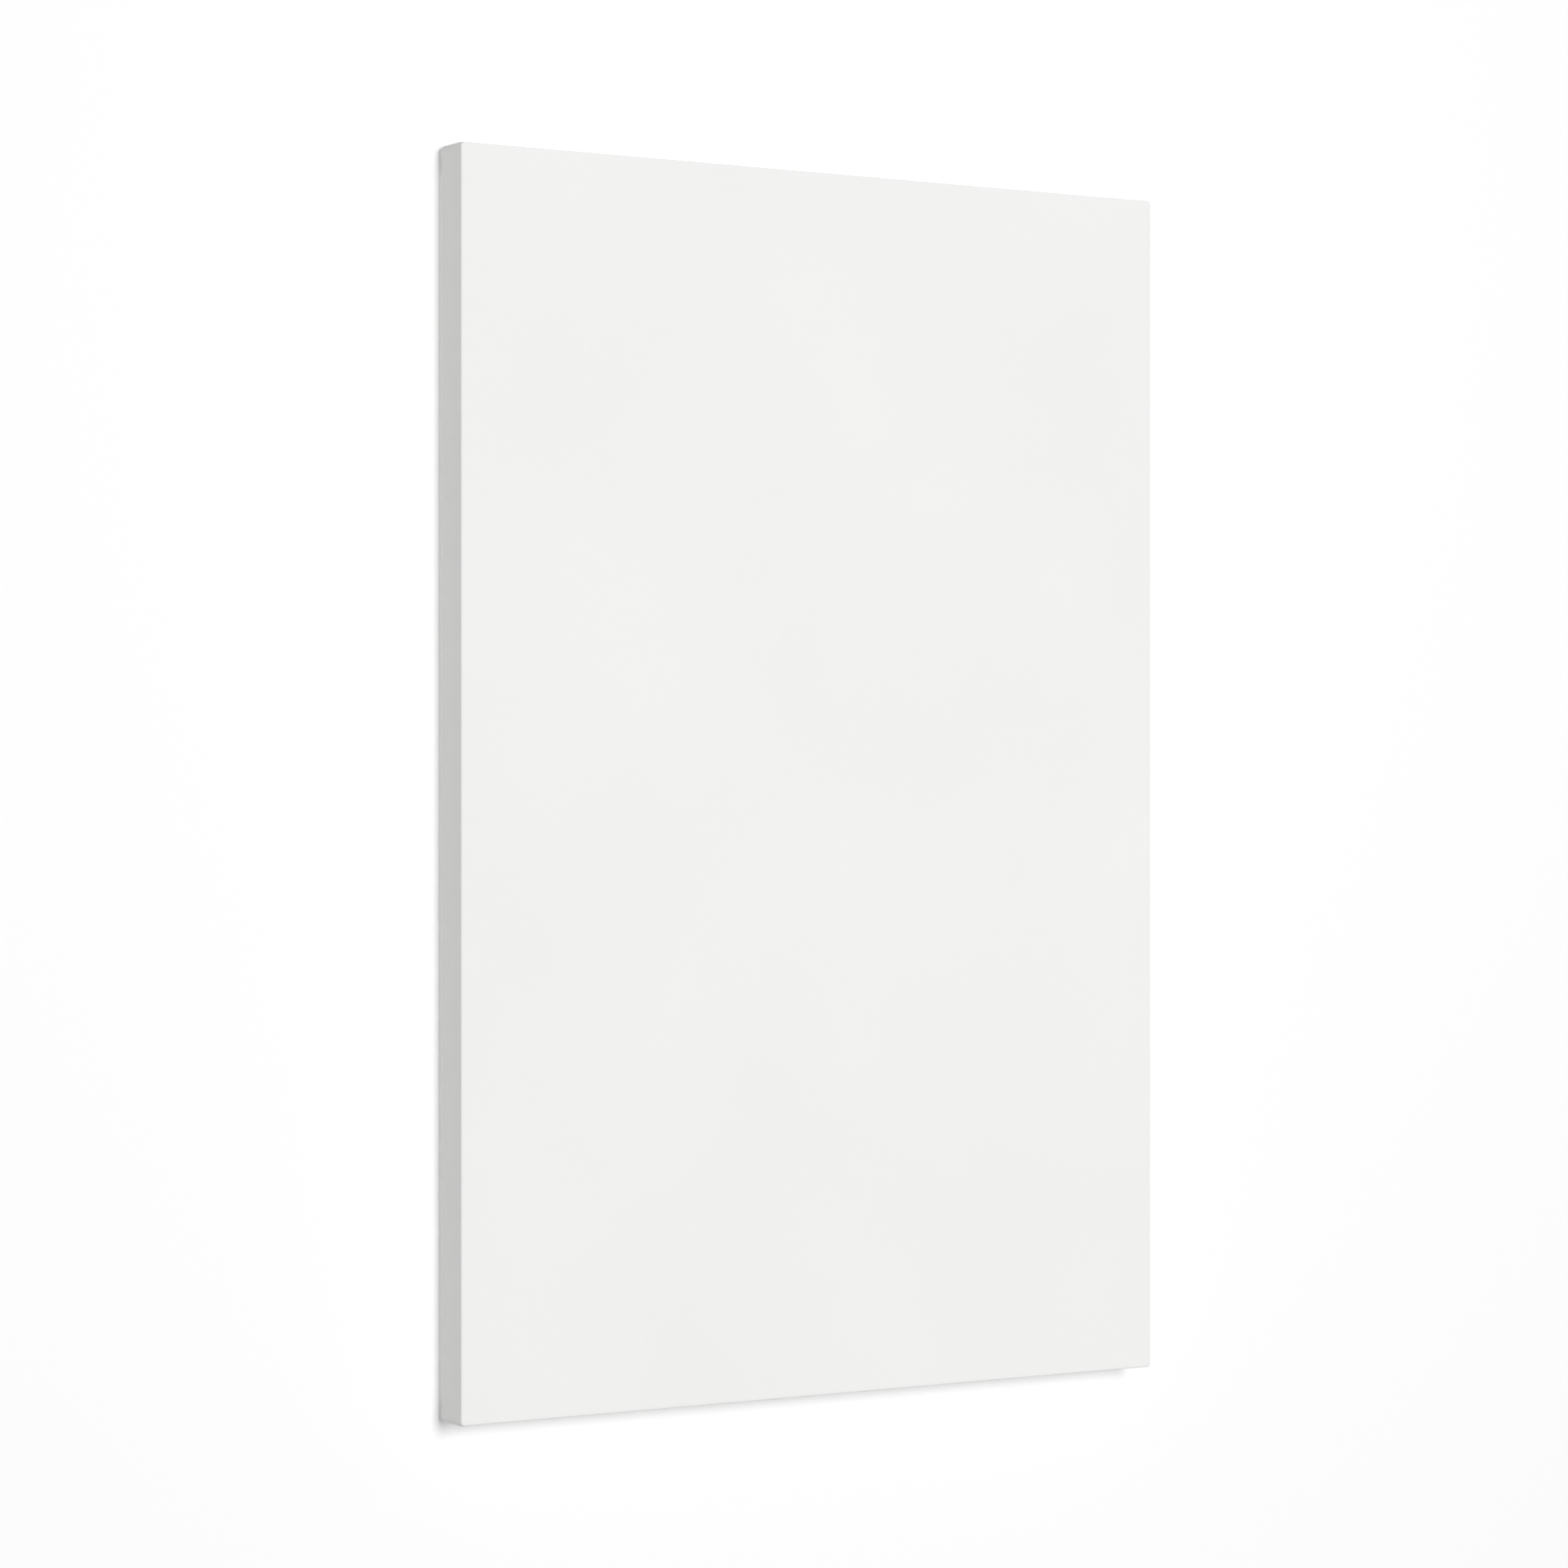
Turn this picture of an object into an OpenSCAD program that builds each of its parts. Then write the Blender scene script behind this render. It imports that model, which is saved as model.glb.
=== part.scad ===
// Stretched canvas: primed cotton on a keyed pine stretcher frame, hung on a wall by two rings.
// X runs across the face, Y runs back into the wall, Z is up.
// The origin is on the wall, straight behind the middle of the painting face.

/* [Canvas] */
// Width of the stretched face
face_w = 609.6; // [400:0.1:1200]
// Height of the stretched face
face_h = 914.4; // [500:0.1:1500]
// Depth from the painting face to the back of the turned-over cloth
face_d = 31.75; // [26:0.05:50]
// Thickness of the primed cotton
cloth_t = 0.6; // [0.4:0.1:0.8]
// Width of the cloth turned over onto the back of the bars
return_w = 20; // [16:0.5:24]
// Radius of the four wrapped corners, seen from the front
corner_r = 3; // [1:0.5:5]

/* [Stretcher bars] */
// Width of a bar, from its outer edge to its inner edge
bar_w = 38; // [31:0.5:60]
// Height of the lip that keeps the cloth off the rest of the bar
lip_h = 3; // [2:0.5:4]
// Width of the lip's flat top
lip_w = 4; // [3:0.5:8]
// Radius of the bars' back edges
edge_r = 1.2; // [0.5:0.1:2]
// Wood behind the rear corner slot
slot_back = 6.5; // [5:0.5:8]
// Thickness of a corner slot
slot_t = 4.8; // [4:0.1:5]
// Wood between the two corner slots
slot_gap = 4.4; // [3:0.1:5]
// Wood left along the outer edge beside a slot
slot_rim = 6; // [5:0.5:8]
// Clearance of a tongue in its slot
tongue_fit = 0.15; // [0.1:0.05:0.3]

/* [Cross brace] */
// Height of the cross brace
brace_w = 38; // [30:0.5:50]
// Thickness of the cross brace
brace_t = 14; // [10:0.5:15]
// Distance of the brace in from the back of the bars
brace_in = 3; // [1:0.5:4]
// Length of the tenon at each end of the brace
tenon_l = 10; // [6:0.5:14]
// Thickness of the tenon
tenon_t = 6; // [4:0.5:7]
// Shoulder above and below the tenon
tenon_shoulder = 6; // [4:0.5:8]

/* [Corner keys] */
// Length of a key
key_l = 40; // [30:0.5:50]
// Width of a key at its tip
key_tip = 7; // [5:0.5:9]
// Width of a key at its head
key_head = 17; // [13:0.5:21]
// How far a key stands in its slot
key_in = 16; // [12:0.5:20]
// Clearance on each face of a key
key_fit = 0.2; // [0.1:0.05:0.3]
// Corner cut off the head of a key
key_chamfer = 1.5; // [0.5:0.1:3]

/* [Staples] */
// Distance from one staple to the next
staple_pitch = 46; // [36:1:80]
// Width of a staple's crown
staple_w = 11; // [9:0.5:12]
// Length of a staple's legs
staple_leg = 8; // [6:0.5:12]
// Width of the staple wire
staple_wire_w = 1.2; // [0.8:0.1:1.4]
// Thickness of the staple wire
staple_wire_t = 0.6; // [0.4:0.1:0.8]
// Distance of the staple row from the outer edge of the cloth
staple_in = 12; // [10:0.5:13]
// Distance of the first staple from the end of its side
staple_end = 34; // [30:1:60]

/* [Wall hangers] */
// Distance of the rings' pivots below the top of the face
hang_drop = 228; // [120:1:300]
// Width of a hanger strap
strap_w = 10; // [8:0.5:11]
// Thickness of the strap
strap_t = 0.8; // [0.6:0.1:1]
// Diameter of the ring wire
ring_wire = 2; // [1.6:0.1:2.4]
// Outside width of a ring
ring_w = 22; // [19:0.5:27]
// Distance from a ring's pivot to the far side of its wire
ring_h = 18; // [17.5:0.5:22]
// Radius of the ring's two corners
ring_corner_r = 3; // [2:0.5:3.5]
// Clearance of the ring wire in the rolled eye
ring_fit = 0.08; // [0.05:0.01:0.1]
// Height of the rolled eye above the back of the bar
eye_lift = 0.2; // [0.1:0.05:0.3]

/* [Screws] */
// Diameter of the screw shank
screw_d = 3; // [2.5:0.1:3.5]
// Length of the screw below its head
screw_l = 13; // [10:0.5:16]
// Diameter of the screw head
screw_head_d = 6; // [5:0.1:7]
// Height of the screw head
screw_head_h = 2; // [1.5:0.1:2.4]
// Diameter of the flat on top of the screw head
screw_crown_d = 4.2; // [4:0.1:4.8]
// Diameter of the screw's blunt tip
screw_tip_d = 0.4; // [0.2:0.1:0.8]
// Length of the cross recess
cross_l = 3.7; // [3:0.1:3.8]
// Width of the cross recess
cross_w = 0.9; // [0.6:0.1:1.1]
// Depth of the cross recess
cross_depth = 1.2; // [0.8:0.1:1.3]
// Clearance of the screw in the strap
screw_fit = 0.25; // [0.1:0.05:0.4]

/* [Wall bumpers] */
// Diameter of a bumper
bumper_d = 10; // [8:0.5:12]
// Height of a bumper, unless the hangers need more room behind the frame
bumper_h = 3; // [2.5:0.1:5]
// Radius of the bumper's rim
bumper_r = 0.8; // [0.4:0.1:1]

/* [Hidden] */
$fn = 64;

// The cloth is doubled where it is folded at the back corners, and the bumpers sit on the fold.
fold_t = cloth_t;
bar_d = face_d - 2 * cloth_t;
frame_w = face_w - 2 * cloth_t;
frame_h = face_h - 2 * cloth_t;
frame_r = max(corner_r - cloth_t, 0.1);

// The ring's pivot, measured from the back of the bar, and the room that its eye needs.
wall_gap = 0.1;
eye_in_r = ring_wire / 2 + ring_fit;
eye_out_r = eye_in_r + strap_t;
pivot_h = eye_out_r + eye_lift;
eye_top = pivot_h + eye_out_r;
bumper_tall = max(bumper_h, eye_top + wall_gap - fold_t - cloth_t);

// Depth planes, measured from the wall towards the front.
cloth_back = bumper_tall + fold_t;
wood_back = cloth_back + cloth_t;
wood_front = wood_back + bar_d;
face_front = wood_front + cloth_t;

// Most of the lip's height is in its slope, the rest in the bevel across the bar behind it.
lip_slope = 0.7 * lip_h;

// The two slot layers, measured from the back of the bar.
rear_layer = slot_back;
front_layer = slot_back + slot_t + slot_gap;

key_t = slot_t - 2 * key_fit;
key_slope = (key_head - key_tip) / key_l;
key_mouth = key_tip + key_in * key_slope;

tenon_w = brace_w - 2 * tenon_shoulder;
tenon_z = brace_in + (brace_t - tenon_t) / 2;
brace_span = frame_w - 2 * bar_w;

// The hanger strap stands in the middle of the bare wood beside the turned-over cloth.
bare_w = bar_w - (return_w - cloth_t);
strap_x = frame_w / 2 - bar_w + bare_w / 2;
pivot_z = face_h / 2 - hang_drop;
ring_mid_w = ring_w - ring_wire;
ring_mid_h = ring_h - ring_wire / 2;
screw_1 = (ring_h - ring_wire) / 2 + eye_out_r / 2;
screw_gap = 2;
screw_2 = ring_h + screw_gap + screw_head_d / 2;

bumper_x = face_w / 2 - return_w / 2;
bumper_z = face_h / 2 - return_w / 2;

// Small overlap that lets a cutting solid run past a face.
past = 1;

pine = "burlywood";
pine_pale = "wheat";
beech = "tan";
cotton = "whitesmoke";
zinc = "silver";
steel = "gainsboro";
gum = "dimgray";

// ---- Placing ----

// Upright block centred on the origin, its four long edges rounded, between two depth planes.
module block(w, h, r, front, back) {
    translate([0, -back, 0])
        rotate([90, 0, 0])
            linear_extrude(front - back)
                polygon([
                    for (c = [[1, 1, 0], [-1, 1, 90], [-1, -1, 180], [1, -1, 270]])
                        for (a = r > 0 ? [0:15:90] : [0])
                            [
                                c[0] * (w / 2 - r) + r * cos(a + c[2]),
                                c[1] * (h / 2 - r) + r * sin(a + c[2])
                            ]
                ]);
}

// Sides of the frame: 0 bottom, 1 right, 2 top, 3 left.
function side_span(side) = side % 2 == 0 ? frame_w : frame_h;
function side_reach(side) = side % 2 == 0 ? frame_h / 2 : frame_w / 2;

// Carries a side drawn flat, with x along it, y in from its outer edge and z forward from its back.
module on_side(side) {
    rotate([0, -90 * side, 0])
        translate([0, -wood_back, -side_reach(side)])
            rotate([90, 0, 0])
                children();
}

// Repeats a child at both ends of a side, drawn for the end at the origin with x running inwards.
module both_ends(side) {
    for (flip = [0, 1])
        mirror([flip, 0, 0])
            translate([-side_span(side) / 2, 0, 0])
                children();
}

// ---- Bars ----

// Section of a bar: x in from its outer edge, y forward from its back.
module bar_section() {
    polygon([
        [0, 0],
        [bar_w - edge_r, 0],
        for (a = [30, 60]) [bar_w - edge_r + edge_r * sin(a), edge_r - edge_r * cos(a)],
        [bar_w, edge_r],
        [bar_w, bar_d - lip_h],
        [lip_w + lip_h, bar_d - lip_slope],
        [lip_w, bar_d],
        [0, bar_d]
    ]);
}

// Outline of a bar with a mitre at each end.
module mitred_outline(side) {
    half = side_span(side) / 2;
    polygon([[-half, 0], [half, 0], [half - bar_w, bar_w], [bar_w - half, bar_w]]);
}

// The tongue that one end of a bar slides into its neighbour's slot.
module tongue() {
    start = slot_rim + tongue_fit;
    rise = bar_w - edge_r;
    linear_extrude(slot_t - 2 * tongue_fit)
        polygon([[start, start], [bar_w, start], [bar_w, rise], [start, rise]]);
}

// The slot at one end of a bar, wide enough for the neighbour's tongue and a key beside it.
module slot() {
    foot = bar_w + 2 * key_fit + key_tip;
    mouth = bar_w + 2 * key_fit + key_mouth;
    tip_y = bar_w - key_in;
    linear_extrude(slot_t)
        polygon([
            [slot_rim, slot_rim],
            [foot, slot_rim],
            [foot, tip_y],
            [mouth, bar_w],
            [mouth, bar_w + past],
            [slot_rim, bar_w + past]
        ]);
}

// Bars lying across have the tongue in the front layer, upright bars have it in the rear layer.
function tongue_layer(side) = side % 2 == 0 ? front_layer : rear_layer;
function slot_layer(side) = side % 2 == 0 ? rear_layer : front_layer;

module bar_blank(side) {
    intersection() {
        rotate([90, 0, 90])
            translate([0, 0, -side_span(side) / 2])
                linear_extrude(side_span(side))
                    bar_section();
        translate([0, 0, -past])
            linear_extrude(bar_d + 2 * past)
                mitred_outline(side);
    }
}

// A bar with its joints cut and the frame's outer corners rounded to fit inside the cloth.
module bar(side) {
    difference() {
        intersection() {
            block(frame_w, frame_h, frame_r, wood_front + past, wood_back - past);
            on_side(side)
                difference() {
                    union() {
                        bar_blank(side);
                        both_ends(side)
                            translate([0, 0, tongue_layer(side) + tongue_fit])
                                tongue();
                    }
                    both_ends(side)
                        translate([0, 0, slot_layer(side)])
                            slot();
                }
        }
        staple_leg_holes();
    }
}

module upright_bar(side) {
    hand = side == 1 ? 1 : -1;
    difference() {
        bar(side);
        brace_mortises();
        translate([hand * strap_x, 0, 0])
            screw_shanks();
    }
}

module bar_top() {
    color(pine) bar(2);
}

module bar_bottom() {
    color(pine) bar(0);
}

module bar_left() {
    color(pine) upright_bar(3);
}

module bar_right() {
    color(pine) upright_bar(1);
}

// ---- Cross brace ----

module brace_tenons(fit) {
    for (hand = [-1, 1])
        translate([hand * brace_span / 2, -wood_back - tenon_z - tenon_t / 2, 0])
            cube([2 * (tenon_l + fit), tenon_t + 2 * fit, tenon_w + 2 * fit], center = true);
}

module brace_mortises() {
    brace_tenons(tongue_fit);
}

module cross_brace() {
    color(pine_pale)
        union() {
            translate([0, -wood_back - brace_in - brace_t / 2, 0])
                cube([brace_span, brace_t, brace_w], center = true);
            brace_tenons(0);
        }
}

// ---- Canvas ----

module canvas() {
    window_w = face_w - 2 * return_w;
    window_h = face_h - 2 * return_w;
    color(cotton)
        difference() {
            union() {
                block(face_w, face_h, corner_r, face_front, cloth_back);
                corner_folds();
            }
            block(frame_w, frame_h, frame_r, wood_front, wood_back);
            block(window_w, window_h, 0, wood_front, cloth_back - past);
            staple_leg_holes();
        }
}

// The doubled cloth at each back corner.
module corner_folds() {
    for (x = [-1, 1], z = [-1, 1])
        intersection() {
            translate([x * bumper_x, -cloth_back + fold_t / 2, z * bumper_z])
                cube([return_w, fold_t, return_w], center = true);
            block(face_w, face_h, corner_r, cloth_back, bumper_tall);
        }
}

// ---- Corner keys ----

// A wedge in the slot of one bar, its straight edge against the neighbour's inner edge.
module key(side, flip) {
    tip_y = bar_w - key_in;
    head_y = tip_y + key_l;
    color(beech)
        on_side(side)
            mirror([flip, 0, 0])
                translate([
                    bar_w + key_fit - side_span(side) / 2,
                    tip_y + key_fit,
                    slot_layer(side) + key_fit
                ])
                    linear_extrude(key_t)
                        polygon([
                            [0, 0],
                            [key_tip - key_chamfer, 0],
                            [key_tip, key_chamfer],
                            [key_head - key_slope * key_chamfer, key_l - key_chamfer],
                            [key_head - key_chamfer, key_l],
                            [key_chamfer, key_l],
                            [0, key_l - key_chamfer]
                        ]);
}

module key_bottom_left_lower() {
    key(0, 0);
}

module key_bottom_right_lower() {
    key(0, 1);
}

module key_bottom_right_side() {
    key(1, 0);
}

module key_top_right_side() {
    key(1, 1);
}

module key_top_right_upper() {
    key(2, 0);
}

module key_top_left_upper() {
    key(2, 1);
}

module key_top_left_side() {
    key(3, 0);
}

module key_bottom_left_side() {
    key(3, 1);
}

// ---- Staples ----

function staple_run(side) = side_span(side) - 2 * staple_end;
function staple_count(side) = floor(staple_run(side) / staple_pitch) + 1;
function staple_x(side, i) = -staple_run(side) / 2 + i * staple_run(side) / (staple_count(side) - 1);

module each_staple(side) {
    for (i = [0:staple_count(side) - 1])
        translate([staple_x(side, i), staple_in - cloth_t - staple_wire_w / 2, 0])
            children();
}

module staple_legs() {
    for (x = [-staple_w / 2, staple_w / 2 - staple_wire_t])
        translate([x, 0, -cloth_t])
            cube([staple_wire_t, staple_wire_w, staple_leg + cloth_t]);
}

// Every leg's hole, because a leg near a corner also passes through the neighbouring bar's tongue.
module staple_leg_holes() {
    for (side = [0:3])
        on_side(side)
            each_staple(side)
                staple_legs();
}

module staples(side) {
    color(steel)
        on_side(side)
            each_staple(side)
                union() {
                    staple_legs();
                    translate([-staple_w / 2, 0, -cloth_t - staple_wire_t])
                        cube([staple_w, staple_wire_w, staple_wire_t]);
                }
}

module staples_bottom() {
    staples(0);
}

module staples_right() {
    staples(1);
}

module staples_top() {
    staples(2);
}

module staples_left() {
    staples(3);
}

// ---- Wall hangers ----

// Drawn with the pivot straight above the origin: y towards the wall, z up.
module hanger_strap() {
    color(zinc)
        translate([0, -wood_back, pivot_z])
            difference() {
                union() {
                    rotate([0, 90, 0])
                        translate([0, pivot_h, -strap_w / 2])
                            cylinder(r = eye_out_r, h = strap_w);
                    translate([-strap_w / 2, 0, -screw_2])
                        cube([strap_w, strap_t, screw_2]);
                    translate([0, 0, -screw_2])
                        rotate([-90, 0, 0])
                            cylinder(d = strap_w, h = strap_t);
                }
                rotate([0, 90, 0])
                    translate([0, pivot_h, -strap_w / 2 - past])
                        cylinder(r = eye_in_r, h = strap_w + 2 * past);
                for (z = [screw_1, screw_2])
                    translate([0, -past, -z])
                        rotate([-90, 0, 0])
                            cylinder(d = screw_d + 2 * screw_fit, h = strap_t + 2 * past);
            }
}

module hanger_strap_left() {
    translate([-strap_x, 0, 0]) hanger_strap();
}

module hanger_strap_right() {
    translate([strap_x, 0, 0]) hanger_strap();
}

module wire_rod(l) {
    cylinder(d = ring_wire, h = l);
}

module wire_bend(r, turn) {
    rotate_extrude(angle = turn)
        translate([r, 0])
            circle(d = ring_wire);
}

// A D of round wire, its straight side on the pivot and its bow hanging below.
module hanger_ring() {
    straight = ring_mid_w - 2 * ring_corner_r;
    leg = ring_mid_h - ring_corner_r - ring_mid_w / 2;
    color(zinc)
        translate([0, pivot_h - wood_back, pivot_z])
            rotate([90, 0, 0])
                union() {
                    translate([-straight / 2, 0, 0])
                        rotate([0, 90, 0])
                            wire_rod(straight);
                    for (hand = [0, 1])
                        mirror([hand, 0, 0]) {
                            translate([straight / 2, -ring_corner_r, 0])
                                wire_bend(ring_corner_r, 90);
                            translate([ring_mid_w / 2, -ring_corner_r, 0])
                                rotate([90, 0, 0])
                                    wire_rod(leg);
                        }
                    translate([0, -ring_corner_r - leg, 0])
                        rotate([0, 0, 180])
                            wire_bend(ring_mid_w / 2, 180);
                }
}

module hanger_ring_left() {
    translate([-strap_x, 0, 0]) hanger_ring();
}

module hanger_ring_right() {
    translate([strap_x, 0, 0]) hanger_ring();
}

// ---- Screws ----

module each_screw() {
    for (z = [screw_1, screw_2])
        translate([0, -wood_back, pivot_z - z])
            rotate([90, 0, 0])
                children();
}

module screw_shanks() {
    each_screw()
        translate([0, 0, -strap_t])
            union() {
                cylinder(d = screw_d, h = screw_l - screw_d);
                translate([0, 0, screw_l - screw_d])
                    cylinder(d1 = screw_d, d2 = screw_tip_d, h = screw_d);
            }
}

module hanger_screws() {
    color(zinc)
        union() {
            screw_shanks();
            each_screw()
                translate([0, 0, -strap_t - screw_head_h])
                    difference() {
                        cylinder(d1 = screw_crown_d, d2 = screw_head_d, h = screw_head_h);
                        for (turn = [0, 90])
                            rotate([0, 0, turn])
                                translate([-cross_l / 2, -cross_w / 2, -past])
                                    cube([cross_l, cross_w, cross_depth + past]);
                    }
        }
}

module hanger_screws_left() {
    translate([-strap_x, 0, 0]) hanger_screws();
}

module hanger_screws_right() {
    translate([strap_x, 0, 0]) hanger_screws();
}

// ---- Wall bumpers ----

module bumper(x, z) {
    color(gum)
        translate([x * bumper_x, -bumper_tall, z * bumper_z])
            rotate([-90, 0, 0])
                rotate_extrude()
                    polygon([
                        [0, 0],
                        [bumper_d / 2, 0],
                        [bumper_d / 2, bumper_tall - bumper_r],
                        [bumper_d / 2 - bumper_r, bumper_tall],
                        [0, bumper_tall]
                    ]);
}

module bumper_top_left() {
    bumper(-1, 1);
}

module bumper_top_right() {
    bumper(1, 1);
}

module bumper_bottom_left() {
    bumper(-1, -1);
}

module bumper_bottom_right() {
    bumper(1, -1);
}

bar_top();
bar_bottom();
bar_left();
bar_right();
cross_brace();
canvas();
key_top_left_upper();
key_top_left_side();
key_top_right_upper();
key_top_right_side();
key_bottom_left_lower();
key_bottom_left_side();
key_bottom_right_lower();
key_bottom_right_side();
staples_top();
staples_bottom();
staples_left();
staples_right();
hanger_strap_left();
hanger_strap_right();
hanger_ring_left();
hanger_ring_right();
hanger_screws_left();
hanger_screws_right();
bumper_top_left();
bumper_top_right();
bumper_bottom_left();
bumper_bottom_right();
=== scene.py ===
"""A blank stretched canvas on a wall: primed cotton folded round a keyed pine stretcher."""

import math

import bmesh
import bpy
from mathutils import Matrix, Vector
from mathutils.geometry import delaunay_2d_cdt


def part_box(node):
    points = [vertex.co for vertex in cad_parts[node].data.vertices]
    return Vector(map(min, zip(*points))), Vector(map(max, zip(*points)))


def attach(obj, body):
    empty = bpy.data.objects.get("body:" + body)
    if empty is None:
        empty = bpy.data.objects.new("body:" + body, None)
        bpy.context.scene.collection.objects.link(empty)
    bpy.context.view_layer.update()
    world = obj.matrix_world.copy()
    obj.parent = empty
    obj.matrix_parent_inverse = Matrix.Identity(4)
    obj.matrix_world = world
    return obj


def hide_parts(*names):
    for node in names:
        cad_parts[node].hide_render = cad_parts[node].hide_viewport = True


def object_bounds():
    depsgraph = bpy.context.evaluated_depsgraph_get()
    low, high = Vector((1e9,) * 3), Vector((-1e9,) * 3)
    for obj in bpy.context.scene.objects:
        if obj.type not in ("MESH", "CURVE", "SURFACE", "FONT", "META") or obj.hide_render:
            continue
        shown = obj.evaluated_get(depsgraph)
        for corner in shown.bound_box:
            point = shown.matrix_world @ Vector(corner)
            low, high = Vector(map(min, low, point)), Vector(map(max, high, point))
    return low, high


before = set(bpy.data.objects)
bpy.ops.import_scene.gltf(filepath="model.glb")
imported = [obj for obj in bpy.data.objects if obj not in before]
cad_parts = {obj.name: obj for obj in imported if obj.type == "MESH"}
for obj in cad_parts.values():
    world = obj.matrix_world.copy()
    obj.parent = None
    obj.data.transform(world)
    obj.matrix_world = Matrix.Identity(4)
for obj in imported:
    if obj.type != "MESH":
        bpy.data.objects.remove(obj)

CAD_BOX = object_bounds()
BODY = "frame"
MM = 0.001

# ---- Sizes, read from the frame ----

cloth_low, cloth_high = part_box("canvas")
wood_low, wood_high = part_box("bar_left")
bumper_low, bumper_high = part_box("bumper_top_right")
staple_low, staple_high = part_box("staples_top")

WIDTH = cloth_high.x - cloth_low.x
HEIGHT = cloth_high.z - cloth_low.z
FACE_Y = cloth_low.y
CLOTH_T = wood_low.y - cloth_low.y
WOOD_BACK = wood_high.y
CLOTH_BACK = WOOD_BACK + CLOTH_T
DEPTH = CLOTH_BACK - FACE_Y
FOLD_LIFT = cloth_high.y - CLOTH_BACK
TURNED = WIDTH - (bumper_low.x + bumper_high.x)  # the bumpers stand halfway across the turned-over cloth

CORNER_R = 3 * MM  # the wrapped corners, seen from the front
FRONT_R = 1.3 * MM  # where the cloth turns off the painting face
BACK_R = 2 * MM  # where it turns onto the back
FLAP = 32 * MM  # how far the folded corner reaches along the top and bottom edges
STEP = 1 * MM  # spacing of the mesh round the folds
FINE = 42 * MM  # length at each end of a side that is meshed at STEP
COARSE = 7 * MM  # spacing of the mesh elsewhere
YARN = 0.62 * MM  # from one thread of the cloth to the next

SAME_SPOT = 0.001 * MM  # points nearer than this are one point
SEWN = 0.01 * MM  # and points of the cloth nearer than this are joined
SAME_PLANE = math.radians(0.5)  # faces that meet more flatly than this are one face


# ---- Making pieces ----


def linked(name, data):
    piece = bpy.data.objects.new(name, data)
    bpy.context.scene.collection.objects.link(piece)
    return piece


def finished(mesh, name, *materials):
    """Turns a built mesh into a piece whose object stands at the origin."""
    data = bpy.data.meshes.new(name)
    mesh.to_mesh(data)
    mesh.free()
    for material in materials:
        data.materials.append(material)
    return linked(name, data)


def settled(source, name, *spent):
    """Makes a plain piece of what an object's modifiers give, and clears away what it was made with."""
    graph = bpy.context.evaluated_depsgraph_get()
    data = bpy.data.meshes.new_from_object(source.evaluated_get(graph))
    source.modifiers.clear()
    for used in (source, *spent):
        bpy.data.objects.remove(used)
    for polygon in data.polygons:
        polygon.use_smooth = True
    return linked(name, data)


def fit(piece, body, node=None):
    """Fixes a piece to a body, and hides the piece of the frame that it stands for."""
    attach(piece, body)
    if node:
        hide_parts(node)


# ---- Finishes ----

# PRIMER_DEEP is also the painted shade in the dips of the primed weave
PRIMER_DEEP, PRIMER_PALE = (0.80, 0.80, 0.793), (0.90, 0.90, 0.893)
CREAM_DEEP, CREAM_PALE = (0.74, 0.69, 0.59), (0.785, 0.74, 0.645)
# WEAVE_GAP_SHADE is painted shade in the gaps between the raw cotton's threads
WEAVE_GAP_SHADE, SEED_HUSK = (0.56, 0.51, 0.42), (0.30, 0.22, 0.13)
YARN_DEEP, YARN_PALE = (0.80, 0.76, 0.67), (0.92, 0.90, 0.84)
PINE_PALE, PINE_DARK, PINE_WARM = (0.82, 0.66, 0.44), (0.63, 0.41, 0.21), (0.77, 0.57, 0.34)
BEECH_DEEP, BEECH_PALE, BEECH_FLECK = (0.62, 0.43, 0.27), (0.74, 0.56, 0.38), (0.45, 0.28, 0.16)
ZINC, STAPLE_WIRE = (0.74, 0.75, 0.77), (0.66, 0.67, 0.69)
RUBBER_BLACK, RUBBER_DUSTY = (0.022, 0.022, 0.023), (0.06, 0.059, 0.057)

WAVERS = 30.0  # times that a thread of the cloth wavers in a metre
WAVER = 5 * YARN  # from side to side, at the very most
DIP = 0.38  # how far a thread rises over its middle height and dips under it, of its whole height
SLUBS_ACROSS, SLUBS_ALONG = 900, 14  # thick and thin streaks in a metre
# a mitre's hairline is a painted shadow: its half width at full dark, then where it has faded out
MITRE_SHADOW_CORE, MITRE_SHADOW_FADE = 0.14 * MM, 0.32 * MM  # half width of a mitre's hairline, then faded out
BAR_SHIFT = 0.7  # from one bar's place in the tree to the next, in metres along the grain


class Nodes:
    """Short ways to add nodes to a tree and to join them."""

    def __init__(self, tree):
        self.tree = tree

    def add(self, kind, *inputs, **settings):
        node = self.tree.nodes.new(kind)
        for name, value in settings.items():
            setattr(node, name, value)
        for socket, value in zip(node.inputs, inputs):
            self.feed(socket, value)
        return node

    def feed(self, socket, value):
        if isinstance(value, bpy.types.NodeSocket):
            self.tree.links.new(value, socket)
        elif value is not None:
            socket.default_value = value


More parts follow.
